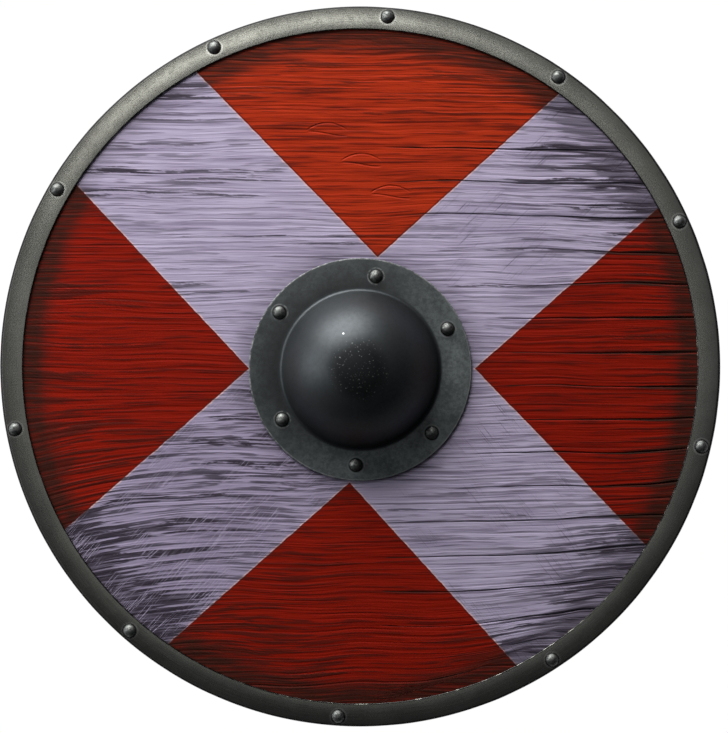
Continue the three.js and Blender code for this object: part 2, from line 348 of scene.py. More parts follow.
# Bands where dark wash sits in the grain: [x of the thin end, x of the thick end, height, half width,
# strength], in millimetres.
STREAKS = [
    # the upper left arm
    (-112, -170, 228, 2.4, 0.75), (-105, -160, 238, 3.0, 0.6), (-90, -190, 209, 1.2, 0.5),
    (-60, -200, 187, 2.6, 0.42), (-55, -235, 166, 3.4, 0.85), (-50, -150, 158, 3.2, 0.7),
    (-60, -230, 146, 3.0, 0.75), (-200, 0, 110.5, 0.8, 0.9), (-70, 0, 104, 1.6, 0.6),
    (-125, -160, 71, 2.4, 0.75), (-90, -180, 84, 1.5, 0.5), (-60, -150, 64, 1.4, 0.55),
    # the upper right arm
    (145, 205, 218, 3.2, 0.8), (118, 222, 185.5, 2.0, 1.0), (148, 228, 178, 1.6, 0.7),
    (130, 236, 168, 3.2, 0.75), (105, 242, 158, 2.4, 1.0), (170, 246, 151, 3.0, 0.8),
    (150, 254, 135, 3.6, 1.0), (105, 190, 137, 1.4, 0.6), (120, 256, 125, 1.4, 0.6),
    (118, 240, 114, 2.0, 0.7), (30, 225, 107.5, 0.8, 0.7), (24, 215, 99, 1.2, 0.7),
    (58, 150, 68.5, 1.3, 0.8),
    # the lower left arm
    (-118, -92, -22, 3.0, 0.75), (-135, -88, -43, 3.0, 0.85), (-155, -66, -62, 4.4, 0.9),
    (-150, -54, -83, 3.4, 0.75), (-130, -200, -90, 1.2, 0.5), (-90, -205, -111, 3.4, 0.6),
    (-100, -232, -133, 4.2, 0.8), (-60, -240, -140, 1.2, 0.8), (-110, -238, -158, 4.4, 0.85),
    (-90, -225, -165, 1.2, 0.7), (-150, -185, -181, 2.6, 0.6), (-110, -205, -193, 4.2, 0.85),
    (-135, -188, -210, 4.4, 0.85), (-120, -178, -226, 2.6, 0.7),
    (-150, -40, -94, 9.0, 0.35),
    # the lower right arm
    (66, 20, -84, 3.0, 0.6), (70, 15, -93, 3.0, 0.65), (150, 80, -106, 1.0, 0.5), (90, 10, -121, 1.5, 0.6),
    (96, 220, -125, 1.3, 0.7), (150, 250, -149, 2.0, 0.6), (170, 252, -156, 3.0, 0.75),
    (150, 240, -172, 4.0, 0.45), (140, 236, -188, 4.0, 0.5), (160, 222, -196, 3.4, 0.7),
    (110, 195, -218, 2.4, 0.6), (112, 178, -230, 3.6, 0.9), (110, 160, -240, 3.0, 0.8),
    (90, 220, -148, 10.0, 0.35),
    # the left sector
    (-190, -278, 68, 3.2, 0.85), (-180, -222, 52, 2.4, 0.75), (-225, -282, 42, 7.0, 0.7),
    (-150, -284, 18, 2.0, 0.5), (-215, -282, -8, 3.0, 0.55), (-190, -280, -34, 2.4, 0.5),
    (-200, -278, -52, 3.6, 0.6), (-150, -250, -80, 3.0, 0.6), (-200, -262, -98, 3.0, 0.6),
    (-190, -250, -118, 3.0, 0.5), (-140, -262, 61, 9.0, 0.45), (-140, -258, -63, 9.0, 0.35),
    # the top sector
    (-30, -100, 232, 3.6, 0.55), (-10, -60, 255, 4.0, 0.7), (72, 0, 271, 7.0, 0.75), (0, -80, 268, 4.0, 0.6),
    (35, 115, 247, 4.0, 0.65), (10, 70, 228, 3.4, 0.6), (90, 124, 189, 2.2, 0.6), (145, -60, 215, 0.9, 0.8),
    (-70, 70, 236, 9.0, 0.35),
    # the right sector, between its splits
    (215, 272, 103, 3.4, 0.9), (225, 275, 77, 2.8, 0.85), (245, 280, 60, 1.8, 0.7), (180, 284, 25, 2.2, 0.85),
    (215, 284, -5, 1.8, 0.7), (230, 283, -33, 1.4, 0.6), (210, 280, -62, 1.6, 0.6),
    (190, 274, -90, 1.8, 0.65),
    (200, 268, -116, 2.0, 0.65),
    # the bottom sector
    (-60, -110, -203, 3.0, 0.5), (-70, -100, -219, 3.4, 0.55), (-50, -142, -241, 3.2, 0.75),
    (30, -60, -258, 3.6, 0.6), (-10, 75, -276, 4.5, 0.8), (20, 120, -233, 1.6, 0.6),
    (-40, 90, -211, 0.9, 0.5),
    (60, 128, -249, 3.6, 0.7), (-90, 40, -168, 1.0, 0.5), (-60, -20, -150, 1.4, 0.45),
]


def face_relief(x, y, grain, sizes):
    """The carving of the face: its depth below the flat board, and what its finish reads."""
    top, pitch = sizes.split_top / MM, sizes.split_pitch / MM
    number = np.clip(np.round((top - grain) / pitch), 0, sizes.split_count - 1)
    from_split = np.abs(grain - (top - pitch * number))
    start, end = split_span(top - pitch * number)
    along = (x - start) / (end - start)
    opened = np.where(along > 0, SPLIT_NARROWEST + (1 - SPLIT_NARROWEST) * np.clip(along, 0, 1), 0)
    opened = opened * smoothstep(-0.02, 0.05, along) * (1 + 0.25 * lattice_noise(x / 23, number * 5.3, 21))
    half = np.maximum(0.01, sizes.split_width / MM / 2 * opened)
    splits = sizes.split_depth / MM * opened * np.clip(1 - from_split / half, 0, 1)

    coarse = grain_lines(x, grain, 5.6, 2.2, 31)
    fine = grain_lines(x, grain, 2.3, 1.5, 41)
    swell = 0.5 + 0.5 * lattice_noise(x / 95, grain / 13, 51)
    stain = streak_wash(x, grain)
    lines = sizes.coarse_depth / MM * coarse + sizes.fine_depth / MM * fine * (1 + 1.5 * stain)
    carved = np.maximum(splits, lines + sizes.swell / MM * swell)

    from_middle = np.hypot(x, y)
    from_boss = np.hypot(x - BOSS_SPOT[0], y - BOSS_SPOT[1])
    shown = smoothstep(291, 286, from_middle) * smoothstep(90, 94, from_boss)
    widens = 0.9 + 3.6 * smoothstep(0.55, 1.0, along)
    split_wash = smoothstep(1.0, 0.25, from_split / widens) * np.clip(1.5 * opened, 0, 1)
    reads = {"grain": grain, "split_wash": split_wash * shown}
    reads |= {"carved_line": np.maximum(coarse, 0.8 * fine) * shown, "stain": stain}
    return carved * shown, reads


def streak_wash(x, grain):
    """How much dark wash the grain holds, from 0 to 1, in streaks that widen towards one end."""
    wash = np.zeros_like(x)
    for thin, thick, height, half, strength in STREAKS:
        middle = np.array([(thin + thick) / 2])
        own = grain_at(middle, np.array([float(height)]))[0]
        near = np.abs(grain - own) < 3 * half + 3
        along = (x[near] - thin) / (thick - thin)
        swing = half * 0.5 * lattice_noise(x[near] / 17, grain[near] * 0 + own, 71)
        reach = np.abs(grain[near] - own - swing) / (half * (0.45 + 0.75 * np.clip(along, 0, 1)))
        ends = smoothstep(-0.12, 0.3, along) * smoothstep(1.25, 0.95, along)
        wash[near] = np.maximum(wash[near], strength * ends * smoothstep(1.5, 0.4, reach))
    return wash


# ---- Finishes -----------------------------------------------------------------------------------


class Finish:
    """A node material, with short ways to add the nodes that it is mixed from."""

    def __init__(self, name):
        self.material = bpy.data.materials.new(name)
        self.material.use_nodes = True
        self.nodes = self.material.node_tree.nodes
        self.links = self.material.node_tree.links
        self.nodes.clear()
        output = self.nodes.new("ShaderNodeOutputMaterial")
        self.shader = self.nodes.new("ShaderNodeBsdfPrincipled")
        self.links.new(self.shader.outputs[0], output.inputs[0])

    def put(self, socket, value):
        """Links a socket to a node's output, or sets its value."""
        if isinstance(value, bpy.types.NodeSocket):
            self.links.new(value, socket)
        elif isinstance(value, (int, float)):
            socket.default_value = value
        elif len(value) == 3 and len(socket.default_value) == 4:
            socket.default_value = (*value, 1.0)
        else:
            socket.default_value = value

    def set(self, **sockets):
        """Sets the shader's own sockets, named in lower case."""
        named = {socket.name.lower().replace(" ", "_"): socket for socket in self.shader.inputs}
        for name, value in sockets.items():
            self.put(named[name], value)

    def math(self, operation, *values):
        node = self.nodes.new("ShaderNodeMath")
        node.operation = operation
        for socket, value in zip(node.inputs, values):
            self.put(socket, value)
        return node.outputs[0]

    def add(self, *values):
        total = values[0]
        for value in values[1:]:
            total = self.math("ADD", total, value)
        return total

    def times(self, *values):
        total = values[0]
        for value in values[1:]:
            total = self.math("MULTIPLY", total, value)
        return total

    def most(self, *values):
        total = values[0]
        for value in values[1:]:
            total = self.math("MAXIMUM", total, value)
        return total

    def least(self, *values):
        total = values[0]
        for value in values[1:]:
            total = self.math("MINIMUM", total, value)
        return total

    def rest(self, share):
        """What a share leaves of 1."""
        return self.math("SUBTRACT", 1.0, share)

    def centred(self, noise):
        """Noise with its middle at 0 instead of a half."""
        return self.math("SUBTRACT", noise, 0.5)

    def vector(self, operation, *values, output=0):
        node = self.nodes.new("ShaderNodeVectorMath")
        node.operation = operation
        for socket, value in zip(node.inputs, values):
            self.put(socket, value)
        return node.outputs[output]

    def join(self, x, y, z=0.0):
        node = self.nodes.new("ShaderNodeCombineXYZ")
        for socket, value in zip(node.inputs, (x, y, z)):
            self.put(socket, value)
        return node.outputs[0]

    def parts(self, vector):
        node = self.nodes.new("ShaderNodeSeparateXYZ")
        self.put(node.inputs[0], vector)
        return node.outputs

    def place(self):
        """The place on the piece, in millimetres."""
        node = self.nodes.new("ShaderNodeTexCoord")
        return self.scaled(node.outputs["Object"], MM)

    def scaled(self, vector, size):
        """The same vector with size as its unit."""
        node = self.nodes.new("ShaderNodeVectorMath")
        node.operation = "SCALE"
        self.put(node.inputs[0], vector)
        node.inputs["Scale"].default_value = 1 / size
        return node.outputs[0]

    def stored(self, name):
        node = self.nodes.new("ShaderNodeAttribute")
        node.attribute_name = name
        return node.outputs["Fac"]

    def noise(self, vector, detail=2.0, roughness=0.5):
        """Noise from 0 to 1 whose waves are about one unit long."""
        node = self.nodes.new("ShaderNodeTexNoise")
        self.put(node.inputs["Vector"], vector)
        self.put(node.inputs["Scale"], 1.0)
        self.put(node.inputs["Detail"], detail)
        self.put(node.inputs["Roughness"], roughness)
        return node.outputs["Fac"]

    def fade(self, value, low, high, start=0.0, end=1.0):
        """Goes smoothly from start to end as value goes from low to high."""
        node = self.nodes.new("ShaderNodeMapRange")
        node.interpolation_type = "SMOOTHSTEP"
        for socket, number in zip(node.inputs, (value, low, high, start, end)):
            self.put(socket, number)
        return node.outputs[0]

    def mix(self, share, first, second):
        """Goes from the first colour to the second as share goes from 0 to 1."""
        node = self.nodes.new("ShaderNodeMix")
        node.data_type = "RGBA"
        self.put(node.inputs["Factor"], share)
        self.put(node.inputs[6], first)
        self.put(node.inputs[7], second)
        return node.outputs[2]

    def bump(self, height, depth):
        """A bump whose height of 1 is depth millimetres."""
        node = self.nodes.new("ShaderNodeBump")
        node.inputs["Strength"].default_value = 1.0
        node.inputs["Distance"].default_value = depth * MM
        self.put(node.inputs["Height"], height)
        self.put(self.shader.inputs["Normal"], node.outputs[0])


def shaded(colour, share):
    """The same colour, lighter or darker."""
    return tuple(part * share for part in colour)


# The four red sectors: each is a wedge with its apex in millimetres and its two edges' angles.
RED_SECTORS = {
    "top": ((14.8, 92.6), 42.1, 134.4),
    "left": ((-94.0, -1.8), 133.2, 221.1),
    "bottom": ((-9.0, -98.2), 221.6, 312.4),
    "right": ((97.0, -1.8), -45.9, 41.2),
}


def inside_sector(finish, place, apex, first, last):
    """How far a place lies inside a sector, in millimetres; below 0 is outside it."""
    offset = finish.vector("SUBTRACT", place, (*apex, 0))
    reach = None
    for angle, side in ((first, 1), (last, -1)):
        turn = math.radians(angle)
        inward = (-side * math.sin(turn), side * math.cos(turn), 0)
        from_edge = finish.vector("DOT_PRODUCT", offset, inward, output=1)
        reach = from_edge if reach is None else finish.least(reach, from_edge)
    return reach


# Short waves in the grain of the top sector: [x, y of the middle of each arc], in millimetres.
RIPPLES = [(-28, 206), (1, 180), (26, 153)]
RIPPLE_HALF = 16
RIPPLE_RISE = 5


def ripple_grooves(f, x, y):
    """1 in each wave's arc and in the slanting line below it, 0 elsewhere."""
    grooves = 0.0
    for middle, top in RIPPLES:
        along = f.times(f.add(x, -middle), 1 / RIPPLE_HALF)
        arch = f.add(top, f.times(along, along, -RIPPLE_RISE))
        slant = f.add(top - 9, f.times(along, -3.2), f.times(along, along, along, 1.5))
        inside = f.fade(f.math("ABSOLUTE", along), 1.15, 0.75)
        for height in (arch, slant):
            off = f.math("ABSOLUTE", f.math("SUBTRACT", y, height))
            grooves = f.add(grooves, f.times(f.fade(off, 1.1, 0.2), inside))
    return grooves


def scratches(f, place, degrees, seed):
    """1 on fine straight scratches at an angle, 0 between them."""
    turn = math.radians(degrees)
    x, y, z = f.parts(place)
    along = f.add(f.times(x, math.cos(turn)), f.times(y, math.sin(turn)))
    across = f.add(f.times(x, -math.sin(turn)), f.times(y, math.cos(turn)))
    marks = f.noise(f.join(f.times(along, 1 / 42), f.times(across, 1 / 0.75), seed), detail=1.0)
    return f.fade(marks, 0.60, 0.69)


class PaintedFace:
    """What the face's finish is mixed from: its places, its carving and its grain at several sizes."""

    def __init__(self, f):
        self.place = f.place()
        self.x, self.y, self.z = f.parts(self.place)
        self.from_middle = f.vector("LENGTH", f.join(self.x, self.y, 0.0), output=1)
        self.lower_left = f.times(f.fade(self.x, 30, -70), f.fade(self.y, 30, -70))

        self.grain = f.stored("grain")
        self.split_wash = f.stored("split_wash")
        self.carved = f.stored("carved_line")
        self.stain = f.stored("stain")

        self.hair = self.along_grain(f, 26, 1.35, 1.5, detail=1.0)
        self.line = self.along_grain(f, 105, 2.5, 7.1, detail=1.0)
        self.streak = self.along_grain(f, 95, 5.5, 3.3, detail=4.0, roughness=0.6)
        self.band = self.along_grain(f, 130, 22, 9.4, detail=2.0)
        self.texture = f.add(f.times(self.hair, 0.45), f.times(self.line, 0.55))
        slanting = f.add(f.times(self.x, 1 / 4), f.times(self.grain, 1 / 3))
        self.ripple = f.noise(f.join(slanting, f.times(self.grain, 1 / 2.2), 4.2), detail=2.0)
        self.patch = f.noise(f.scaled(self.place, 38), detail=2.0)

        # The edges between the colours aren't quite straight.
        self.wobble = f.noise(f.scaled(self.place, 5), detail=3.0)
        inside = {name: inside_sector(f, self.place, *wedge) for name, wedge in RED_SECTORS.items()}
        self.in_top = inside["top"]
        self.in_red = f.add(f.most(*inside.values()), f.times(f.centred(self.wobble), 1.2))
        self.is_red = f.fade(self.in_red, -0.3, 0.3)
        self.is_white = f.rest(self.is_red)

    def along_grain(self, f, length, width, offset, **more):
        """Noise whose waves are this long along the grain and this wide across it."""
        where = f.join(f.times(self.x, 1 / length), f.times(self.grain, 1 / width), offset)
        return f.noise(where, **more)


def paint_colour(f, face, colours):
    """White and red, worn along the grain, with a thick edge of white where they meet."""
    worn = f.add(f.times(face.line, 0.4), f.times(face.hair, 0.35))
    worn = f.add(worn, f.times(face.streak, 0.2), f.times(face.band, 0.05))
    # Lighter red in the top sector: partly its paint, partly a painted sheen of the light from above.
    red = f.mix(f.fade(face.in_top, 0.0, 2.0), colours.deep_red, colours.red)
    red = f.mix(f.fade(worn, 0.42, 0.66, 0.0, 0.72), red, colours.dark_red)
    grey = f.add(f.times(f.fade(face.patch, 0.35, 0.65), 0.22), f.times(face.lower_left, 0.5))
    grey = f.most(grey, f.fade(face.streak, 0.45, 0.66, 0.0, 0.55))
    paint = f.mix(face.is_red, f.mix(grey, colours.white, colours.grey), red)
    on_seam = f.times(f.fade(face.in_red, -1.3, -0.6), f.fade(face.in_red, 0.2, -0.2))
    return f.mix(f.times(on_seam, f.fade(face.wobble, 0.3, 0.6, 0.35, 0.9)), paint, colours.seam)


def dark_wash(f, face):
    """How much dark wash and painted shade lie on the paint, from 0 to 1."""
    # By the rim, the upper left arm is darkened only half as much.
    spared_upper_left = f.times(f.fade(f.math("SUBTRACT", face.y, face.x), 285, 345), face.is_white)
    by_rim_share = f.rest(f.times(spared_upper_left, 0.5))
    near_rim = f.times(f.fade(face.from_middle, 205, 288), by_rim_share)
    at_rim = f.times(f.fade(face.from_middle, 252, 288), by_rim_share)

    # It fills the splits and the carved lines.
    in_split = f.fade(f.add(face.split_wash, f.times(f.centred(face.texture), 1.4)), 0.3, 0.75)
    filled = f.add(0.4, f.times(face.stain, 0.6), f.times(near_rim, 0.35))
    in_line = f.times(f.fade(face.carved, 0.3, 0.95), filled)

    # It shows the fine grain, and more of it in the streaks, by the rim and on the lower left.
    more = f.add(f.times(face.stain, 0.10), f.times(at_rim, 0.08), f.times(near_rim, 0.045))
    more = f.add(more, f.times(face.lower_left, 0.05), f.times(f.fade(face.x, 20, 130), 0.02))
    chopped = f.add(face.texture, more, f.times(f.centred(face.ripple), face.stain, 0.18))
    strength = f.add(0.45, f.times(face.stain, 0.5), f.times(near_rim, 0.35), f.times(face.lower_left, 0.25))
    strength = f.times(strength, f.fade(face.is_red, 0.0, 1.0, 1.0, 0.6))
    in_grain = f.times(f.fade(chopped, 0.555, 0.61), strength)

    # It is smeared in the streaks and along the red's edges. Along the rim, wash and painted shade darken it
    # together.
    smear = f.fade(f.add(f.times(face.line, 0.5), f.times(face.stain, 0.4)), 0.35, 0.75)
    smear = f.times(smear, face.stain, 0.42)
    wash_and_shade_by_rim = f.fade(f.add(f.times(face.line, 0.5), f.times(face.streak, 0.4), at_rim), 0.42, 1.2)
    wash_and_shade_by_rim = f.times(wash_and_shade_by_rim, f.fade(face.is_red, 0.0, 1.0, 0.75, 0.92))
    by_seam = f.times(f.fade(face.in_red, 0.0, 0.4), f.fade(face.in_red, 1.7, 0.5), 0.55)
    wash = f.least(f.most(in_split, in_line, in_grain, smear, wash_and_shade_by_rim, by_seam), 1.0)

    # Painted shadow round the boss.
    from_boss = f.vector("DISTANCE", f.join(face.x, face.y, 0.0), BOSS_SPOT, output=1)
    boss_shadow = f.math("POWER", f.fade(from_boss, 122, 90), 1.5)
    boss_shadow = f.times(boss_shadow, f.fade(face.patch, 0.3, 0.6, 0.35, 0.55))
    wash = f.add(wash, f.times(f.rest(wash), boss_shadow))
    return f.times(wash, f.fade(face.hair, 0.3, 0.55, 0.66, 0.94))


def crossing_scratches(f, face):
    """Scratches across the white: pale ones on the lower left arm, and dark ones on both right arms."""
    on_left = f.times(f.fade(face.x, 10, -60), f.fade(face.y, 10, -60), f.fade(face.patch, 0.4, 0.6))
    on_right = f.times(f.fade(face.x, 20, 90), f.fade(face.patch, 0.45, 0.65))
    pale = f.most(scratches(f, face.place, 50, 2.0), scratches(f, face.place, 43, 12.0))
    rising = f.times(scratches(f, face.place, 44, 9.0), f.fade(face.y, 40, 90))
    falling = f.times(scratches(f, face.place, -51, 6.0), f.fade(face.y, 40, -40))
    dark = f.most(falling, rising)
    return f.times(pale, on_left, face.is_white), f.times(dark, on_right, face.is_white)


def painted_finish(colours):
    """A white saltire on red under dark wash and painted shade, with bare, stained wood on the sides and the
    back.
    """
    f = Finish("shield paint")
    face = PaintedFace(f)
    wash = dark_wash(f, face)
    pale, dark = crossing_scratches(f, face)
    washed = f.mix(face.is_red, colours.wash, colours.brown_wash)
    front = f.mix(wash, paint_colour(f, face, colours), washed)
    front = f.mix(f.times(pale, 0.7), front, colours.white)
    front = f.mix(f.times(dark, 0.55), front, colours.wash)

    along_back = f.join(f.times(face.x, 1 / 120), f.times(face.y, 1 / 3.5), 2.0)
    back_grain = f.noise(along_back, detail=5.0, roughness=0.65)
    bare = f.mix(f.fade(back_grain, 0.3, 0.75), colours.bare, shaded(colours.bare, 0.4))
    below_face = f.math("SUBTRACT", BOARD_HIGH.z / MM, face.z)
    f.set(base_color=f.mix(f.fade(below_face, 4.0, 2.5), bare, front))

    rough = f.add(f.fade(wash, 0.0, 1.0, 0.5, 0.62), f.times(face.hair, 0.1))
    f.set(roughness=rough, specular_ior_level=0.07)
    height = f.add(f.times(face.hair, -0.30), f.times(face.line, -0.75))
    height = f.add(height, f.times(face.ripple, face.stain, -0.5))
    height = f.add(height, f.times(ripple_grooves(f, face.x, face.y), -0.8))
    height = f.add(height, f.times(f.add(pale, dark), -0.25))
    f.bump(height, 0.7)
    return f.material


# Steel that is worn bare, on the rim and on the boss.
BURNISHED = (0.75, 0.75, 0.70)
WORN_EDGE = (0.45, 0.47, 0.46)
WORN_RING = (0.4, 0.42, 0.41)
NICKED = (0.5, 0.52, 0.52)
LONE_NICK = (-14, 30, 0)  # from the boss's middle, in millimetres


def off_rivets(f, place, names):
    """How far a place is from the middle of the nearest of these rivets, in millimetres."""
    x, y, z = f.parts(place)
    flat = f.join(x, y, 0.0)
    nearest = None
    for name in names:
        spot = rivet_place(name) / MM
        off = f.vector("DISTANCE", flat, (spot.x, spot.y, 0), output=1)
        nearest = off if nearest is None else f.least(nearest, off)
    return nearest


def rim_finish(colours):
    """Steel brushed along the rim and burnished round the rivets, with painted shade: black on its outer
    edge, along its inner edge and in rings round the rivets' heads.
    """
    f = Finish("rim steel")
    place = f.place()
    x, y, z = f.parts(place)
    radius = f.vector("LENGTH", f.join(x, y, 0.0), output=1)
    angle = f.math("ARCTAN2", y, x)
    brushed = f.noise(f.join(f.times(angle, 9.0), f.times(radius, 1.7), f.times(z, 0.6)), detail=2.0)
    mottle = f.noise(f.scaled(place, 3.5), detail=4.0, roughness=0.65)
    cloud = f.noise(f.scaled(place, 42), detail=2.0)
    tone = f.mix(f.fade(cloud, 0.4, 0.65, 0.0, 0.16), colours.rim, colours.black)
    tone = f.mix(f.fade(mottle, 0.45, 0.75, 0.0, 0.18), tone, colours.black)
    off = f.add(off_rivets(f, place, RIM_RIVETS), f.times(f.centred(mottle), 1.6))
    burnish = f.times(f.fade(off, 5.9, 6.5), f.fade(off, 8.0, 7.0))
    # A dark ring round each rivet's head: painted shade, and oil.
    tone = f.mix(f.times(f.fade(off, 6.3, 5.7), 0.85), tone, colours.black)
    tone = f.mix(f.times(burnish, 0.6), tone, BURNISHED)
    outer = RIM_HIGH.x / MM
    inner = outer - bpy.context.scene.shield_rim.width / MM
    dash = f.noise(f.times(angle, 22.0), detail=2.0)
    # Painted shade: the rim's outer side, where it rolls away, is nearly black.
    outer_side_shade = f.fade(radius, outer - 2.7, outer - 1.7)
    tone = f.mix(f.times(outer_side_shade, 0.95), tone, colours.black)
    # Painted shade along the inner edge, lighter in dashes.
    lip = f.times(f.fade(radius, inner + 1.1, inner + 0.5), f.fade(dash, 0.36, 0.5, 0.55, 1.0))
    tone = f.mix(f.times(lip, 0.93), tone, colours.black)
    f.set(base_color=tone, metallic=1.0)
    rough = f.add(0.15, f.times(mottle, 0.10), f.times(brushed, 0.12), f.times(outer_side_shade, 0.35))
    f.set(roughness=rough)
    f.bump(f.add(f.times(brushed, 0.6), f.times(mottle, 0.4)), 0.026)
    return f.material


def boss_finish(colours):
    """Blackened steel: a mottled flange with painted shade by the dome and round the rivets, and a smooth
    dome with a dark, nicked crown that is partly a painted dark reflection.
    """
    f = Finish("boss steel")
    place = f.place()
    offset = f.vector("SUBTRACT", place, BOSS_SPOT)
    x, y, z = f.parts(offset)
    radius = f.vector("LENGTH", f.join(x, y, 0.0), output=1)
    mottle = f.noise(f.scaled(place, 3.2), detail=4.0, roughness=0.7)
    cloud = f.noise(f.scaled(place, 30), detail=2.0)
    speck = f.noise(f.scaled(place, 1.1), detail=1.0)
    flange = f.mix(f.fade(mottle, 0.35, 0.65, 0.0, 0.45), colours.flange, colours.black)
    flange = f.mix(f.fade(cloud, 0.35, 0.6, 0.0, 0.3), flange, colours.black)
    # Painted shade on the flange: darker towards the dome, and most on its top left.
    towards_top_left = f.fade(f.add(x, f.times(y, -0.8)), 90, -60)
    shade_by_dome = f.times(f.fade(radius, 96, 66, 0.7, 1.0), towards_top_left, 0.93)
    flange = f.mix(shade_by_dome, flange, colours.black)
    worn_edge = f.times(f.fade(radius, 92.6, 93.8), f.fade(mottle, 0.4, 0.6), 0.5)
    flange = f.mix(worn_edge, flange, WORN_EDGE)
    off = off_rivets(f, place, BOSS_RIVETS)
    # A dark ring round each rivet's head: painted shade, and oil.
    flange = f.mix(f.times(f.fade(off, 6.6, 5.7), 0.8), flange, colours.black)
    worn_ring = f.times(f.fade(off, 6.2, 6.8), f.fade(off, 8.0, 7.0), f.fade(mottle, 0.4, 0.6), 0.35)
    flange = f.mix(worn_ring, flange, WORN_RING)

    # The crown is darkened: partly patina, partly a painted dark reflection.
    wobble = f.times(f.centred(cloud), 16.0)
    crown = f.fade(f.add(radius, wobble), 31, 15)
    dome = f.mix(f.times(crown, 0.8), colours.dome, colours.black)
    dome = f.mix(f.fade(mottle, 0.4, 0.7, 0.0, 0.2), dome, colours.black)
    nicks = f.times(f.fade(speck, 0.70, 0.76), f.fade(radius, 29, 20))
    nick = f.vector("DISTANCE", f.join(x, y, 0.0), LONE_NICK, output=1)
    nicks = f.most(nicks, f.fade(nick, 1.0, 0.5))
    dome = f.mix(f.times(nicks, 0.8), dome, NICKED)
    on_dome = f.fade(radius, 70.5, 68.0)
    f.set(base_color=f.mix(on_dome, flange, dome), metallic=f.fade(on_dome, 0.0, 1.0, 0.4, 0.86))
    rough_flange = f.add(0.32, f.times(mottle, 0.12))
    rough_dome = f.add(0.46, f.times(mottle, 0.06))
    rough = f.add(f.times(on_dome, rough_dome), f.times(f.rest(on_dome), rough_flange))
    f.set(roughness=rough)
    f.bump(f.add(f.times(mottle, 0.6), f.times(cloud, 2.0), f.times(nicks, -0.5)), 0.06)
    return f.material


def rivet_finish(colours):
    """Dull steel, with painted shade: black where the head meets the sheet."""
    f = Finish("rivet steel")
    place = f.place()
    mottle = f.noise(f.scaled(place, 1.8), detail=3.0, roughness=0.65)
    x, y, z = f.parts(place)
    lowest = RIM_HIGH.z / MM
    # Painted shade where the head meets the sheet.
    shade_low_on_head = f.times(f.fade(z, lowest + 1.5, lowest + 0.3), 0.85)
    tone = f.mix(f.fade(mottle, 0.4, 0.65, 0.0, 0.6), colours.rivet, colours.black)
    f.set(base_color=f.mix(shade_low_on_head, tone, colours.black), metallic=1.0)
    f.set(roughness=f.add(0.42, f.times(mottle, 0.2)))
    f.bump(mottle, 0.12)
    return f.material


def bare_wood_finish(colours):
    """Dark stained wood with its grain along the grip."""
    f = Finish("stained wood")
    place = f.place()
    x, y, z = f.parts(place)
    along_grip = f.join(f.times(x, 1 / 2.5), f.times(y, 1 / 70), f.times(z, 1 / 2.5))
    grain = f.noise(along_grip, detail=4.0, roughness=0.6)
    worn = f.noise(f.scaled(place, 30), detail=2.0)
    tone = f.mix(f.fade(grain, 0.35, 0.65), shaded(colours.bare, 1.5), shaded(colours.bare, 0.5))
    f.set(base_color=f.mix(f.fade(worn, 0.4, 0.7, 0.0, 0.4), tone, colours.bare))
    f.set(roughness=f.fade(grain, 0.3, 0.7, 0.45, 0.65))
    f.bump(grain, 0.3)
    return f.material


# ---- Operators ------------------------------------------------------------------------------------


CUTTER_LENGTH = 30 * MM
SHANK_ROOM = 0.3 * MM  # round a shank in the cut board


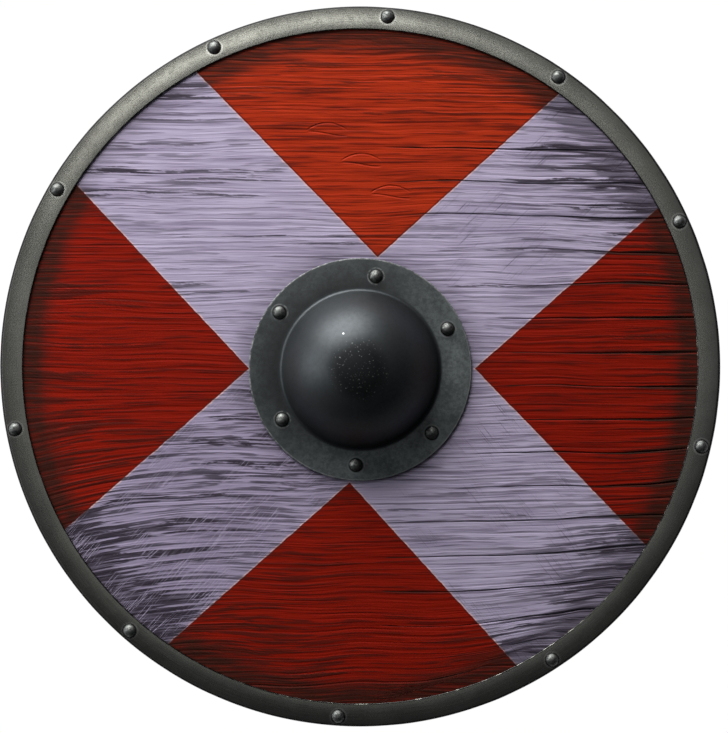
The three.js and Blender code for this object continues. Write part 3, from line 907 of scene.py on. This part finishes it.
class MakeBoard(bpy.types.Operator):
    """Make the carved and painted board"""

    bl_idname = "shield.make_board"
    bl_label = "Board"

    def execute(self, context):
        sizes = context.scene.shield_board
        radius = BOARD_RADIUS / MM
        deselect_all()
        bpy.ops.mesh.primitive_grid_add(
            x_subdivisions=sizes.columns, y_subdivisions=sizes.rows, size=2, location=(0, 0, 0)
        )
        board = context.object
        board.name = "painted_board"
        mesh = board.data
        places = places_of(mesh)
        # Each row of the grid becomes one grain line, from the board's edge to its other edge.
        grain = places[:, 1] * (radius - 0.05)
        side = np.sign(places[:, 0]) + (places[:, 0] == 0)
        reach = side * np.sqrt(radius**2 - grain**2)
        for _ in range(GRAIN_ROUNDS):
            height = grain + grain_bend(reach, grain)
            reach = side * np.sqrt(np.maximum(0.25, radius**2 - np.clip(height, -radius, radius) ** 2))
        x = reach * np.abs(places[:, 0])
        y = grain + grain_bend(x, grain)
        off = np.hypot(x, y)
        too_far = np.maximum(1, off / radius)
        places = np.column_stack([x / too_far * MM, y / too_far * MM, np.full(len(x), BOARD_HIGH.z)])
        move_places(mesh, places)

        # The edge goes down to the back, with a chamfer, and the back is closed.
        bpy.ops.object.mode_set(mode="EDIT")
        bpy.ops.mesh.select_all(action="SELECT")
        bpy.ops.mesh.region_to_loop()
        thickness = BOARD_HIGH.z - BOARD_LOW.z
        bpy.ops.mesh.extrude_region_move(TRANSFORM_OT_translate={"value": (0, 0, sizes.chamfer - thickness)})
        bpy.ops.mesh.extrude_region_move(TRANSFORM_OT_translate={"value": (0, 0, -sizes.chamfer)})
        shrink = 1 - sizes.chamfer / BOARD_RADIUS
        bpy.ops.transform.resize(value=(shrink, shrink, 1), center_override=(0, 0, 0))
        bpy.ops.mesh.edge_face_add()
        bpy.ops.mesh.select_all(action="SELECT")
        bpy.ops.mesh.normals_make_consistent(inside=False)
        bpy.ops.object.mode_set(mode="OBJECT")

        self.cut_holes(context, board, sizes)
        self.carve(board, sizes)
        smooth(board, 40)
        dress(board, painted_finish(context.scene.shield_paint), "painted_wood", "board")
        return {"FINISHED"}

    def cut_holes(self, context, board, sizes):
        """Cuts the hand hole and the holes for the rivets' shanks."""
        deselect_all()
        middle = (BOARD_HIGH.z + BOARD_LOW.z) / 2
        spot = (BOSS_CENTRE.x, BOSS_CENTRE.y, middle)
        bpy.ops.mesh.primitive_cylinder_add(
            vertices=96, radius=sizes.hole_radius, depth=CUTTER_LENGTH, location=spot
        )
        cutter = context.object
        shank = context.scene.shield_rivet.shank + SHANK_ROOM
        for name in RIM_RIVETS + BOSS_RIVETS:
            spot = (*rivet_place(name), middle)
            bpy.ops.mesh.primitive_cylinder_add(vertices=12, radius=shank, depth=CUTTER_LENGTH, location=spot)
            context.object.select_set(True)
            cutter.select_set(True)
            context.view_layer.objects.active = cutter
            bpy.ops.object.join()
            deselect_all()
        context.view_layer.objects.active = board
        board.select_set(True)
        cut = board.modifiers.new("holes", "BOOLEAN")
        cut.operation = "DIFFERENCE"
        cut.object = cutter
        cut.solver = "EXACT"
        bpy.ops.object.modifier_apply(modifier=cut.name)
        bpy.data.objects.remove(cutter)

    def carve(self, board, sizes):
        """Sinks the grain and the splits into the face."""
        mesh = board.data
        places = places_of(mesh)
        x, y = places[:, 0] / MM, places[:, 1] / MM
        grain = grain_at(x, y)
        depth, reads = face_relief(x, y, grain, sizes)
        on_face = places[:, 2] > BOARD_HIGH.z - 0.1 * MM
        places[:, 2] -= np.where(on_face, depth, 0) * MM
        move_places(mesh, places)
        for name, values in reads.items():
            store(mesh, name, values)


HAMMERED = 0.12  # depth of the hammer's marks on the rim, in millimetres


class MakeRim(bpy.types.Operator):
    """Make the steel rim"""

    bl_idname = "shield.make_rim"
    bl_label = "Rim"

    def execute(self, context):
        sizes = context.scene.shield_rim
        outer, low, high = RIM_HIGH.x, RIM_LOW.z, RIM_HIGH.z
        inner = outer - sizes.width
        steel, bend, lip = sizes.steel, sizes.bend, sizes.lip
        inside = bend - steel
        profile = [
            *arc(inner + lip, low + lip, lip, 180, 270, 3),
            *arc(outer - bend, low + bend, bend, 270, 360, 6),
            *arc(outer - bend, high - bend, bend, 0, 90, 6),
            *arc(inner + lip, high - lip, lip, 90, 180, 4),
            (inner, high - steel),
            *arc(outer - bend, high - bend, inside, 90, 0, 3),
            *arc(outer - bend, low + bend, inside, 0, -90, 3),
            (inner, low + steel),
        ]
        profile.append(profile[0])
        rim = spun("steel_rim", profile, (0, 0), sizes.steps)
        places = places_of(rim.data)
        angle = np.arctan2(places[:, 1], places[:, 0])
        # It was bent and hammered by hand, so its faces aren't quite true.
        turn = angle * 11
        wave = lattice_noise(turn + 64, places[:, 2] / MM / 9, 61) * HAMMERED
        edge = lattice_noise(turn * 1.7 + 64, places[:, 2] / MM / 9, 62) * HAMMERED - HAMMERED
        radius = np.hypot(places[:, 0], places[:, 1])
        flat = smoothstep(outer - bend, inner, radius)
        places[:, 2] += np.clip(wave, -1, 0) * flat * MM * np.sign(places[:, 2] - (low + high) / 2)
        scale = 1 + edge * MM / radius
        places[:, 0] *= scale
        places[:, 1] *= scale
        move_places(rim.data, places)
        smooth(rim, 35)
        dress(rim, rim_finish(context.scene.shield_steel), "rim_steel", "rim")
        return {"FINISHED"}


class MakeBoss(bpy.types.Operator):
    """Make the domed steel boss"""

    bl_idname = "shield.make_boss"
    bl_label = "Boss"

    def execute(self, context):
        sizes = context.scene.shield_boss
        low, high = BOSS_LOW.z, BOSS_HIGH.z
        edge = BOSS_HIGH.x - BOSS_CENTRE.x
        flange = low + sizes.steel
        rise = high - flange
        sphere = (sizes.dome_radius**2 + rise**2) / (2 * rise)
        middle = high - sphere
        bend_height = flange + sizes.bend
        bend_radius = math.sqrt((sphere + sizes.bend) ** 2 - (bend_height - middle) ** 2)
        meeting = math.degrees(math.atan2(bend_height - middle, bend_radius))

        def face(offset, dome_steps, bend_steps):
            dome = arc(0, middle, sphere - offset, 90, meeting, dome_steps)
            dome[0] = (0, dome[0][1])
            bend = arc(bend_radius, bend_height, sizes.bend + offset, 180 + meeting, 270, bend_steps)
            return dome + bend[1:]

        outside = face(0, 32, 6)
        inside = face(sizes.steel, 20, 5)
        lip = sizes.lip
        rounded = arc(edge - lip, flange - lip, lip, 90, 0, 3)
        profile = [*outside, *rounded, (edge, low), *reversed(inside)]
        boss = spun("domed_boss", profile, (BOSS_CENTRE.x, BOSS_CENTRE.y), sizes.steps)
        smooth(boss, 35)
        dress(boss, boss_finish(context.scene.shield_steel), "boss_steel", "boss")
        return {"FINISHED"}


RIVET_DENT = 0.35  # in millimetres
RIVET_TURN = 1.9  # in radians, from one rivet to the next


def make_rivet(context, height, depth):
    """Makes one worn rivet at the origin: its crown at one height, its tail at another."""
    sizes = context.scene.shield_rivet
    crown = (sizes.head**2 + sizes.head_height**2) / (2 * sizes.head_height)
    seat = height - sizes.head_height
    start = math.degrees(math.asin((seat - height + crown) / crown))
    dome = arc(0, height - crown, crown, start, 90, 7)
    dome[-1] = (0, height)
    tail_top = depth + sizes.tail_height
    profile = [
        (0, depth),
        (sizes.tail * 0.6, depth),
        (sizes.tail * 0.92, depth + sizes.tail_height * 0.45),
        (sizes.tail, tail_top),
        (sizes.shank, tail_top),
        (sizes.shank, seat),
        (sizes.head * 0.98, seat),
        (sizes.head, seat + 0.15 * MM),
        *dome[1:],
    ]
    rivet = spun("rivet", profile, (0, 0), 24)
    smooth(rivet, 35)
    steel = bpy.data.materials.get("rivet steel") or rivet_finish(context.scene.shield_steel)
    rivet.data.materials.append(steel)
    return rivet


def set_rivets(context, names):
    """Copies a rivet to each place, turned and hammered a little differently each time."""
    models = {}
    for number, name in enumerate(names):
        low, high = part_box(name)
        length = (round(low.z, 5), round(high.z, 5))
        if length not in models:
            models[length] = make_rivet(context, high.z, low.z)
        deselect_all()
        models[length].select_set(True)
        context.view_layer.objects.active = models[length]
        bpy.ops.object.duplicate(linked=False)
        rivet = context.object
        rivet.name = f"{name}_worn"
        spot = rivet_place(name)
        places = places_of(rivet.data)
        on_head = smoothstep(high.z - 3.2 * MM, high.z - 2.6 * MM, places[:, 2])
        x, y = places[:, 0] / MM, places[:, 1] / MM
        dent = np.clip(lattice_noise(x / 3 + number * 7 + 50, y / 3 + 50, 81), 0, 1) * RIVET_DENT
        places[:, 2] -= dent * on_head * MM
        turn = number * RIVET_TURN
        cos, sin = math.cos(turn), math.sin(turn)
        rotated = np.column_stack([
            places[:, 0] * cos - places[:, 1] * sin + spot.x,
            places[:, 0] * sin + places[:, 1] * cos + spot.y,
            places[:, 2],
        ])
        move_places(rivet.data, rotated)
        dress(rivet, rivet.data.materials[0], "rivet_steel", name)
    for model in models.values():
        bpy.data.objects.remove(model)


class MakeRimRivets(bpy.types.Operator):
    """Make the rivets that hold the rim"""

    bl_idname = "shield.make_rim_rivets"
    bl_label = "Rim rivets"

    def execute(self, context):
        set_rivets(context, RIM_RIVETS)
        return {"FINISHED"}


class MakeBossRivets(bpy.types.Operator):
    """Make the rivets that hold the boss and the grip"""

    bl_idname = "shield.make_boss_rivets"
    bl_label = "Boss rivets"

    def execute(self, context):
        set_rivets(context, BOSS_RIVETS)
        return {"FINISHED"}


GRIP_RINGS = 61
GRIP_SQUARENESS = 0.3  # 1 would make its section round, and 0 square
GRIP_TIP_WIDTH = 0.55  # share of its width left at the tips


def squared(value):
    """A point on a circle, moved out towards the corners."""
    return np.sign(value) * np.abs(value) ** GRIP_SQUARENESS


class MakeGrip(bpy.types.Operator):
    """Make the wooden grip"""

    bl_idname = "shield.make_grip"
    bl_label = "Grip"

    def execute(self, context):
        sizes = context.scene.shield_grip
        grip_rivets = [name for name in BOSS_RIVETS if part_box(name)[0].z < BOARD_LOW.z - 5 * MM]
        upper, lower = sorted((rivet_place(name) for name in grip_rivets), key=lambda spot: -spot.y)
        middle = (upper + lower) / 2
        axis = upper - lower
        half = axis.length / 2 + sizes.overhang
        depth = GRIP_HIGH.z - GRIP_LOW.z

        deselect_all()
        bpy.ops.mesh.primitive_cylinder_add(vertices=32, radius=1, depth=2, end_fill_type="NGON")
        grip = context.object
        grip.name = "wooden_grip"
        bpy.ops.object.mode_set(mode="EDIT")
        bpy.ops.mesh.select_all(action="SELECT")
        bpy.ops.mesh.bisect(plane_co=(0, 0, 0), plane_no=(0, 0, 1))
        for share in np.linspace(-0.97, 0.97, GRIP_RINGS):
            bpy.ops.mesh.select_all(action="SELECT")
            bpy.ops.mesh.bisect(plane_co=(0, 0, float(share)), plane_no=(0, 0, 1))
        bpy.ops.object.mode_set(mode="OBJECT")
        places = places_of(grip.data)
        across, down, along = places[:, 0].copy(), places[:, 1].copy(), places[:, 2].copy()
        radius = np.maximum(1e-9, np.hypot(across, down))
        station = along * half
        thinning = smoothstep(0, sizes.slope, np.abs(station) - sizes.hand_half)
        into_tip = np.maximum(0, 1 - (half - np.abs(station)) / sizes.end_round)
        narrowing = GRIP_TIP_WIDTH + (1 - GRIP_TIP_WIDTH) * np.sqrt(1 - np.minimum(1, into_tip) ** 2)
        thick = depth + (sizes.end_depth - depth) * thinning
        width = (sizes.waist + (sizes.width - sizes.waist) * thinning) * narrowing
        up = GRIP_HIGH.z + thick / 2 * (squared(down / radius) - 1)
        side = squared(across / radius) * width / 2
        turned = math.atan2(-axis.x, axis.y)
        x = side * math.cos(turned) - station * math.sin(turned) + middle.x
        y = side * math.sin(turned) + station * math.cos(turned) + middle.y
        move_places(grip.data, np.column_stack([x, y, up]))
        bpy.ops.object.mode_set(mode="EDIT")
        bpy.ops.mesh.select_all(action="SELECT")
        bpy.ops.mesh.normals_make_consistent(inside=False)
        bpy.ops.object.mode_set(mode="OBJECT")
        smooth(grip, 40)
        dress(grip, bare_wood_finish(context.scene.shield_paint), "bare_wood", "grip")
        return {"FINISHED"}


# Where the lights stand, in metres. The strip and the ceiling light face straight down.
KEY_PLACE = (-0.72, 1.78, 0.84)
FILL_PLACE = (-1.8, 0.2, 0.75)
STRIP_PLACE = (-0.17, 0.45, 1.95)
CEILING_PLACE = (0, 0.50, 2.05)


def below(place):
    """The spot on the floor under a place."""
    return (place[0], place[1], 0)


class SetStage(bpy.types.Operator):
    """Set the floor, the lights and the camera"""

    bl_idname = "shield.set_stage"
    bl_label = "Stage"

    def execute(self, context):
        stage = context.scene.shield_stage
        deselect_all()
        bpy.ops.mesh.primitive_plane_add(size=12, location=(0, 0, 0))
        floor = context.object
        floor.name = "floor"
        paper = Finish("pale paper")
        paper.set(base_color=(0.02, 0.02, 0.02), roughness=1.0, specular_ior_level=0.0)
        paper.set(emission_color=(1, 1, 1), emission_strength=stage.floor_glow)
        floor.data.materials.append(paper.material)

        face = RIM_HIGH.z
        middle = (0, 0, face)
        self.light("key", KEY_PLACE, middle, (2.0, 1.0), stage.key_power, (1.0, 0.99, 0.98))
        self.light("left fill", FILL_PLACE, middle, (0.9, 0.9), stage.fill_power, (0.95, 0.98, 1.0))
        self.light("strip", STRIP_PLACE, below(STRIP_PLACE), (0.52, 0.2), stage.strip_power, (1.0, 1.0, 0.97))
        overhead = below(CEILING_PLACE)
        self.light("ceiling", CEILING_PLACE, overhead, (1.7, 1.3), stage.ceiling_power, (0.98, 0.99, 1.0))
        world = bpy.data.worlds.new("dim room")
        world.use_nodes = True
        world.node_tree.nodes["Background"].inputs["Color"].default_value = (0.85, 0.9, 1.0, 1)
        world.node_tree.nodes["Background"].inputs["Strength"].default_value = stage.room_light
        context.scene.world = world
        context.scene.view_settings.view_transform = "Standard"

        camera = bpy.data.cameras.new("camera")
        camera.sensor_fit = "HORIZONTAL"
        camera.sensor_width = 36
        camera.lens = camera.sensor_width * stage.camera_height / stage.view_width
        camera.clip_end = 50
        eye = bpy.data.objects.new("camera", camera)
        eye.location = (stage.aside, 0, face + stage.camera_height)
        context.scene.collection.objects.link(eye)
        context.scene.camera = eye
        return {"FINISHED"}

    def light(self, name, place, aim, size, power, colour):
        """An area light at a place, aimed at a point, of a width and height."""
        lamp = bpy.data.lights.new(name, "AREA")
        lamp.shape = "RECTANGLE"
        lamp.size, lamp.size_y = size
        lamp.energy = power
        lamp.color = colour
        holder = bpy.data.objects.new(name, lamp)
        holder.location = place
        holder.rotation_euler = (Vector(aim) - Vector(place)).to_track_quat("-Z", "Y").to_euler()
        holder.visible_camera = False
        bpy.context.scene.collection.objects.link(holder)


# ---- Panel and registration -----------------------------------------------------------------------

PROPERTY_GROUPS = {
    "shield_board": BoardSizes,
    "shield_paint": PaintColours,
    "shield_steel": SteelColours,
    "shield_rim": RimSizes,
    "shield_boss": BossSizes,
    "shield_rivet": RivetSizes,
    "shield_grip": GripSizes,
    "shield_stage": StageSettings,
}
OPERATORS = (SetStage, MakeBoard, MakeRim, MakeBoss, MakeGrip, MakeRimRivets, MakeBossRivets)


class ShieldPanel(bpy.types.Panel):
    """Buttons for the shield's pieces"""

    bl_idname = "VIEW3D_PT_round_shield"
    bl_label = "Round shield"
    bl_space_type = "VIEW_3D"
    bl_region_type = "UI"
    bl_category = "Shield"

    def draw(self, context):
        for operator in OPERATORS:
            self.layout.operator(operator.bl_idname)


def register():
    for group in PROPERTY_GROUPS.values():
        bpy.utils.register_class(group)
    for name, group in PROPERTY_GROUPS.items():
        setattr(bpy.types.Scene, name, PointerProperty(type=group))
    for thing in (*OPERATORS, ShieldPanel):
        bpy.utils.register_class(thing)


def unregister():
    for thing in reversed((*OPERATORS, ShieldPanel)):
        bpy.utils.unregister_class(thing)
    for name, group in reversed(PROPERTY_GROUPS.items()):
        delattr(bpy.types.Scene, name)
        bpy.utils.unregister_class(group)


def main():
    register()
    bpy.ops.shield.set_stage()
    bpy.ops.shield.make_board()
    bpy.ops.shield.make_rim()
    bpy.ops.shield.make_boss()
    bpy.ops.shield.make_grip()
    bpy.ops.shield.make_rim_rivets()
    bpy.ops.shield.make_boss_rivets()


if __name__ == "__main__":
    main()
